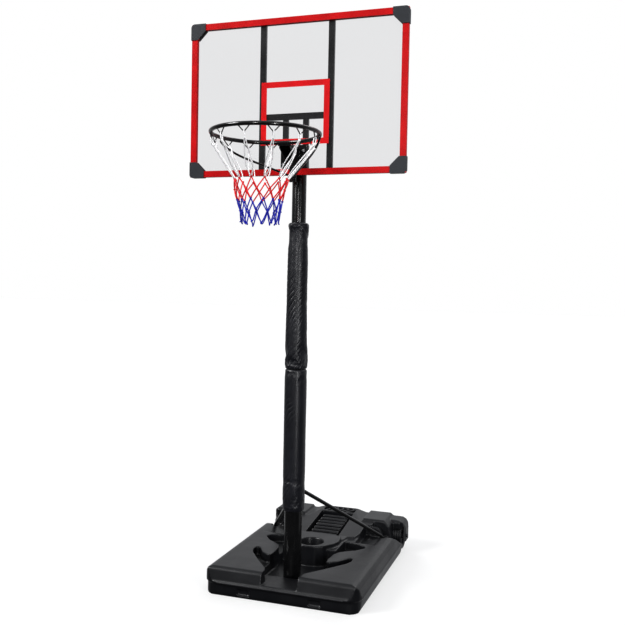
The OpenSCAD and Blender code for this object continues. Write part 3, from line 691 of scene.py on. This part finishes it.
def pad_pieces():
    lower_pole_r = (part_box("lower_pole")[1].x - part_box("lower_pole")[0].x) / 2
    middle_pole_r = (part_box("middle_pole")[1].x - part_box("middle_pole")[0].x) / 2
    lower = Pad("lower_pad", lower_pole_r + 0.3 * MM,
                [(0.0, 0.0515), (0.03, 0.0550), (0.10, 0.0552), (0.5, 0.0540), (0.93, 0.0548),
                 (0.985, 0.0545), (1.0, 0.0520)],
                slot_z=0.560, slot_half=0.034, slot_down=True, wrinkle=0.55, seed=3.0)
    upper = Pad("upper_pad", middle_pole_r + 0.3 * MM,
                [(0.0, 0.0520), (0.02, 0.0545), (0.08, 0.0553), (0.22, 0.0535), (0.45, 0.0500),
                 (0.8, 0.0492), (0.98, 0.0492), (1.0, 0.0480)],
                slot_z=1.766, slot_half=0.024, slot_down=False, wrinkle=1.25, seed=11.0)
    for pad in (lower, upper):
        piece = pad.build()
        loose = pad is upper
        pad.simulate(piece, stretch=0.03 if loose else 0.008, cap=(4.0 if loose else 1.2) * MM)
        pad.refine(piece)
        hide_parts(pad.node)


# ------------------------------------------------------------------------- net


class Net:
    """Thirteen hooks, white hanging cords, then red and blue diamonds."""

    def __init__(self):
        lo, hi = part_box("ring")
        self.rod_r = (hi.z - lo.z) / 2
        self.ring_r = (hi.x - lo.x) / 2 - self.rod_r
        self.centre = Vector(((lo.x + hi.x) / 2, (lo.y + hi.y) / 2, (lo.z + hi.z) / 2))
        self.tip_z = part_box("net_hooks")[0].z
        # The hooks' turns round the ring: five in front, four up each side.
        turns = [270 + 30 * i for i in range(-2, 3)]
        turns += [90 + s * (15 + 26.25 * i) for s in (-1, 1) for i in range(4)]
        self.turns = sorted(math.radians(t % 360) for t in turns)
        self.count = len(self.turns)
        self.random = np.random.RandomState(41)
        net_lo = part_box("net")[0]
        self.bottom = net_lo.z
        self.cord = 2.8 * MM
        # The right brace's rod: its radius, and the ends and the bend of its line in the CAD.
        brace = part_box("brace_right")
        self.rod = 5.0 * MM
        self.brace_low = Vector((5.3 * MM, brace[1].y - 5 * MM, brace[0].z + 20 * MM))
        self.brace_high = Vector((brace[1].x - 5.5 * MM, brace[0].y + 5.5 * MM, brace[1].z - 22 * MM))
        self.knee = self.brace_high.lerp(self.brace_low, 0.2) - Vector((0, 0, 16 * MM))

    def at(self, step, radius, z, loose=1.0):
        """A point of the net; step counts half spaces between hooks."""
        jitter = self.random.uniform(-1, 1, 3) * loose
        a = self.turn(step / 2) + jitter[0] * 0.05
        r = radius + jitter[1] * 4 * MM
        lean = -NET_LEAN * min(1.0, max(0.0, (self.tip_z - z) / 0.25))
        return Vector((self.centre.x + lean + r * math.cos(a), self.centre.y + r * math.sin(a),
                       z + jitter[2] * 4 * MM))

    def turn(self, place):
        """Turn of a hook, or of the middle between two hooks for half numbers."""
        low = math.floor(place)
        here, after = (self.turns[k % self.count] + (k // self.count) * 2 * math.pi for k in (low, low + 1))
        return here + (after - here) * (place - low)

    def outward(self, p):
        """Level direction from the ring's middle to a point."""
        return Vector((p.x - self.centre.x, p.y - self.centre.y, 0)).normalized()

    def at_hook(self, i):
        """Directions outwards and along the ring at a hook."""
        a = self.turns[i]
        return Vector((math.cos(a), math.sin(a), 0)), Vector((-math.sin(a), math.cos(a), 0))

    def off_braces(self, p):
        """Moves a point inwards, off the two brace rods."""
        room = self.rod + self.cord + 1.2 * MM
        reach = room * 1.6
        runs = ((self.brace_low, self.knee), (self.knee, self.brace_high))
        for side, (low, high) in ((s, run) for s in (1, -1) for run in runs):
            a = Vector((low.x * side, low.y, low.z))
            b = Vector((high.x * side, high.y, high.z))
            t = max(0.0, min(1.0, (p - a).dot(b - a) / (b - a).length_squared))
            near = a.lerp(b, t)
            away = p - near
            if away.length < reach:
                inward = -self.outward(near)
                short = room - away.dot(inward)
                if short > 0:
                    p = p + inward * short * max(0.0, min(1.0, (reach - away.length) / (room * 0.6)))
        return p

    def strand(self, a, b, bow, steps=14):
        """A cord from a to b that bows a little, clear of the braces."""
        out = self.outward((a + b) / 2)
        line = []
        for k in range(steps + 1):
            t = k / steps
            p = a.lerp(b, t) + out * bow * 4 * t * (1 - t)
            line.append(self.off_braces(p))
        return line

    def hooks(self):
        """Round wire hooks, bent to a V with a rounded foot and welded under the ring."""
        bag = Bag()
        wire = 2.4 * MM
        half = 24 * MM
        for i in range(self.count):
            out, along = self.at_hook(i)
            base = self.centre + out * self.ring_r
            top = -self.rod_r + 1.0 * MM
            low = self.tip_z + wire - self.centre.z
            points = []
            for s in (-1, 1):
                leg = [base + along * s * half + Vector((0, 0, top)),
                       base + along * s * half * 0.55 + Vector((0, 0, (top + low) / 2)) - out * 1.0 * MM,
                       base + along * s * 4.5 * MM + Vector((0, 0, low + 4.0 * MM)) - out * 2.5 * MM,
                       base + along * s * 1.8 * MM + Vector((0, 0, low + 0.7 * MM)) - out * 3 * MM]
                points += leg if s < 0 else leg[::-1]
            bag.sweep(smooth_line(points, 5), wire, 10)
            for s in (-1, 1):
                bag.lump(base + along * s * (half - 1.5 * MM) + Vector((0, 0, top - 0.6 * MM)), 3.4 * MM)
        piece = bag.piece("wire_hooks", BLACK_PAINT, "hoop", "black_paint")
        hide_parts("net_hooks")

    def braces(self):
        """Each brace is one round rod, bent in a smooth curve from the ring to the bracket."""
        for side, node in ((1, "brace_right"), (-1, "brace_left")):
            weld = self.brace_high + Vector((0, 0, 22 * MM))
            foot = self.brace_low - Vector((0, 0, 15 * MM))
            turn = self.knee.lerp(self.brace_low, 0.12)
            ends = [weld, self.brace_high.lerp(weld, 0.35), self.knee.lerp(self.brace_high, 0.42), turn]
            ends += [turn.lerp(self.brace_low, t) for t in (0.3, 0.65, 0.94)]
            ends += [self.brace_low - Vector((0, 0, 5 * MM)), foot]
            line = [Vector((p.x * side, p.y, p.z)) for p in smooth_line(ends, 6)]
            bag = Bag()
            bag.sweep(line, self.rod, 16)
            bag.lump(line[0] - Vector((0, 0, 1.5 * MM)), self.rod * 1.25)
            piece = bag.piece("bent_" + node, BLACK_PAINT, "hoop", "black_paint")
            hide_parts(node)

    def cords(self):
        bags = {"white": Bag(), "red": Bag(), "blue": Bag()}
        top = self.tip_z
        height = top - self.bottom
        rows = [  # share of the height below the hooks, radius, colour of the cords above
            (0.455, 0.120, "white"), (0.58, 0.110, "red"), (0.70, 0.098, "red"),
            (0.83, 0.090, "blue"), (0.975, 0.080, "blue")]
        knots = []
        for r, (share, radius, _) in enumerate(rows):
            z = top - share * height
            knots.append([self.off_braces(self.at(2 * i + r % 2, radius, z, 0.6 if r == 0 else 1.1))
                          for i in range(self.count)])
        for i in range(self.count):
            self.white_loop(bags["white"], i, knots[0][i])
        for r in range(1, len(rows)):
            bag = bags[rows[r][2]]
            last = r == len(rows) - 1
            for i in range(self.count):
                if r % 2 == 0:  # these knots hang under the hooks, between knots i-1 and i above
                    above = (knots[r - 1][i - 1], knots[r - 1][i])
                else:
                    above = (knots[r - 1][i], knots[r - 1][(i + 1) % self.count])
                here = knots[r][i]
                if last:
                    self.bottom_loop(bag, above[0], above[1], here)
                    continue
                for up in above:
                    bag.sweep(self.strand(up, here, self.random.uniform(0, 3) * MM, 10), self.cord, 8)
        for r in range(len(rows) - 1):
            for k in knots[r]:
                self.knot(bags[rows[r + 1][2]], k)
        net = None
        for colour, bag in bags.items():
            piece = bag.piece("net_" + colour, CORDS[colour], "hoop", "net_cord")
            net = net or piece
        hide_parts("net")

    def white_loop(self, bag, i, low):
        """A long loop of cord hung over a hook: two tails, side by side, down to one knot."""
        out, along = self.at_hook(i)
        tip = self.centre + out * (self.ring_r - 3 * MM)
        tip.z = self.tip_z
        drop = (24 + self.random.uniform(-3, 3)) * MM
        eye = self.off_braces(tip - Vector((0, 0, drop)) - out * 6 * MM)
        loop = []
        for k in range(13):
            t = math.pi * 2 * k / 12
            loop.append(eye.lerp(tip + Vector((0, 0, 7.5 * MM)), (1 - math.cos(t)) / 2)
                        + out * math.sin(t) * 5.2 * MM + along * math.sin(t) * 1.0 * MM)
        bag.sweep(smooth_line(loop, 3), self.cord, 8)
        bag.lump(eye, 5.2 * MM)
        for s in (-1, 1):
            start = eye + along * s * 2.5 * MM
            wide = (10 + self.random.uniform(-3, 4)) * MM
            line = []
            end = low + along * s * 2.0 * MM
            for k in range(23):
                t = k / 22
                bow = along * s * wide * math.sin(math.pi * t ** 1.4)
                line.append(self.off_braces(start.lerp(end, t) + bow))
            bag.sweep(line, self.cord, 8)

    def bottom_loop(self, bag, a, b, tip):
        """The last cord hangs from two knots as one rounded, slightly crooked loop."""
        sway = self.random.uniform(-9, 9) * MM
        points = [a, a.lerp(tip, 0.5) + Vector((0, 0, -4 * MM)),
                  a.lerp(tip, 0.86) + Vector((0, 0, -3 * MM)),
                  tip + Vector((sway, 0, self.random.uniform(-7, 5) * MM)),
                  b.lerp(tip, 0.86) + Vector((0, 0, -3 * MM)),
                  b.lerp(tip, 0.5) + Vector((0, 0, -4 * MM)), b]
        bag.sweep(smooth_line(points, 5), self.cord, 8)

    def knot(self, bag, p):
        """A pulled-tight knot: a core with two turns of cord round it."""
        bag.lump(p, 3.6 * MM)
        along = UP.cross(self.outward(p))
        for tilt in (0.6, -0.6):
            axis = (UP + along * tilt).normalized()
            u = axis.orthogonal().normalized()
            w = axis.cross(u)
            ring = [p + (u * math.cos(t) + w * math.sin(t)) * 3.9 * MM
                    for t in (2 * math.pi * k / 12 for k in range(12))]
            bag.sweep(ring, 1.9 * MM, 7, closed=True)


# ----------------------------------------------------------------------- stage


def stage():
    floor = bpy.data.objects.new("floor", bpy.data.meshes.new("floor"))
    half = 40.0
    corners = [(-half, -half, 0), (half, -half, 0), (half, half, 0), (-half, half, 0)]
    floor.data.from_pydata(corners, [], [(0, 1, 2, 3)])
    floor.data.materials.append(pale_floor())
    bpy.context.scene.collection.objects.link(floor)
    floor.visible_diffuse = False
    floor.visible_glossy = False

    world = bpy.data.worlds.new("studio")
    bpy.context.scene.world = world
    world.use_nodes = True
    tree = world.node_tree
    tree.nodes.clear()

    def add(kind, operation=None, *values):
        made = tree.nodes.new(kind)
        if operation:
            made.operation = operation
        for i, value in enumerate(values):
            if isinstance(value, bpy.types.NodeSocket):
                tree.links.new(value, made.inputs[i])
            else:
                made.inputs[i].default_value = value
        return made.outputs[0]

    # The room behind and above the hoop is brighter than the room in front of it.
    coords = tree.nodes.new("ShaderNodeTexCoord").outputs["Generated"]
    split = tree.nodes.new("ShaderNodeSeparateXYZ")
    tree.links.new(coords, split.inputs[0])
    behind = add("ShaderNodeMath", "MAXIMUM", split.outputs["Y"], 0.0)
    above = add("ShaderNodeMath", "MAXIMUM", split.outputs["Z"], 0.0)
    level = add("ShaderNodeMath", "MULTIPLY_ADD", behind, WORLD_BEHIND, WORLD_BASE)
    level = add("ShaderNodeMath", "MULTIPLY_ADD", above, WORLD_ABOVE, level)
    room = add("ShaderNodeBackground", None, (0.97, 0.98, 1.0, 1.0), level)
    backdrop = add("ShaderNodeBackground", None, (1.0, 1.0, 1.0, 1.0), 1.0)
    seen = tree.nodes.new("ShaderNodeLightPath").outputs["Is Camera Ray"]
    mixed = add("ShaderNodeMixShader", None, seen, room, backdrop)
    tree.links.new(mixed, tree.nodes.new("ShaderNodeOutputWorld").inputs["Surface"])

    def lamp(name, kind, place, aim, energy, shiny=True, matt=True, **settings):
        data = bpy.data.lights.new(name, kind)
        data.energy = energy
        for key, value in settings.items():
            setattr(data, key, value)
        light = bpy.data.objects.new(name, data)
        light.location = place
        light.rotation_euler = (Vector(aim) - Vector(place)).to_track_quat("-Z", "Y").to_euler()
        light.visible_glossy = shiny
        light.visible_diffuse = matt
        bpy.context.scene.collection.objects.link(light)

    soft = math.radians(20)
    lamp("key", "SUN", (-4.6, -3.4, 4.4), (0, 0, 1.0), 2.9, angle=soft)
    lamp("fill", "SUN", (5.4, -3.2, 2.9), (0, 0, 1.0), 2.0, shiny=False, angle=soft)
    lamp("back", "SUN", (1.5, 4.0, 5.0), (0, 0, 1.0), 0.4, angle=soft)
    # Two tall narrow lamps that only draw the streaks on round and sharp edges.
    lamp("strip_right", "AREA", (3.2, -4.2, 1.5), (0, 0, 1.5), 95.0, matt=False,
         shape="RECTANGLE", size=0.3, size_y=3.0)
    lamp("strip_left", "AREA", (0.2, -5.4, 2.8), (0, 0, 2.0), 75.0, matt=False,
         shape="RECTANGLE", size=0.2, size_y=1.7)
    lamp("front", "SUN", (1.6, -5.2, 2.2), (0, 0, 1.0), 1.3, shiny=False, angle=soft)


def camera():
    """Stands in front of the hoop, a little to its right, level with the middle of the pole."""
    yaw, pitch, roll = (math.radians(v) for v in (18.486, 2.191, 1.117))
    forward = Vector((-math.sin(yaw) * math.cos(pitch), math.cos(yaw) * math.cos(pitch), -math.sin(pitch)))
    right = Vector((math.cos(yaw), math.sin(yaw), 0.0))
    up = right.cross(forward)
    right, up = (right * math.cos(roll) + up * math.sin(roll), up * math.cos(roll) - right * math.sin(roll))
    data = bpy.data.cameras.new("camera")
    data.sensor_width = 36.0
    data.lens = 46.72
    cam = bpy.data.objects.new("camera", data)
    turn = Matrix((right, up, -forward)).transposed().to_4x4()
    cam.matrix_world = Matrix.Translation((1.3461, -3.7844, 1.5507)) @ turn
    bpy.context.scene.collection.objects.link(cam)
    bpy.context.scene.camera = cam


# ------------------------------------------------------------------------ main

camera()
stage()
dress_cad()
tank_shell()
strut_piece(1)
strut_piece(-1)
pad_pieces()
net = Net()
net.hooks()
net.braces()
net.cords()
bpy.context.scene.view_settings.view_transform = "Standard"
bpy.context.scene.view_settings.gamma = VIEW_GAMMA
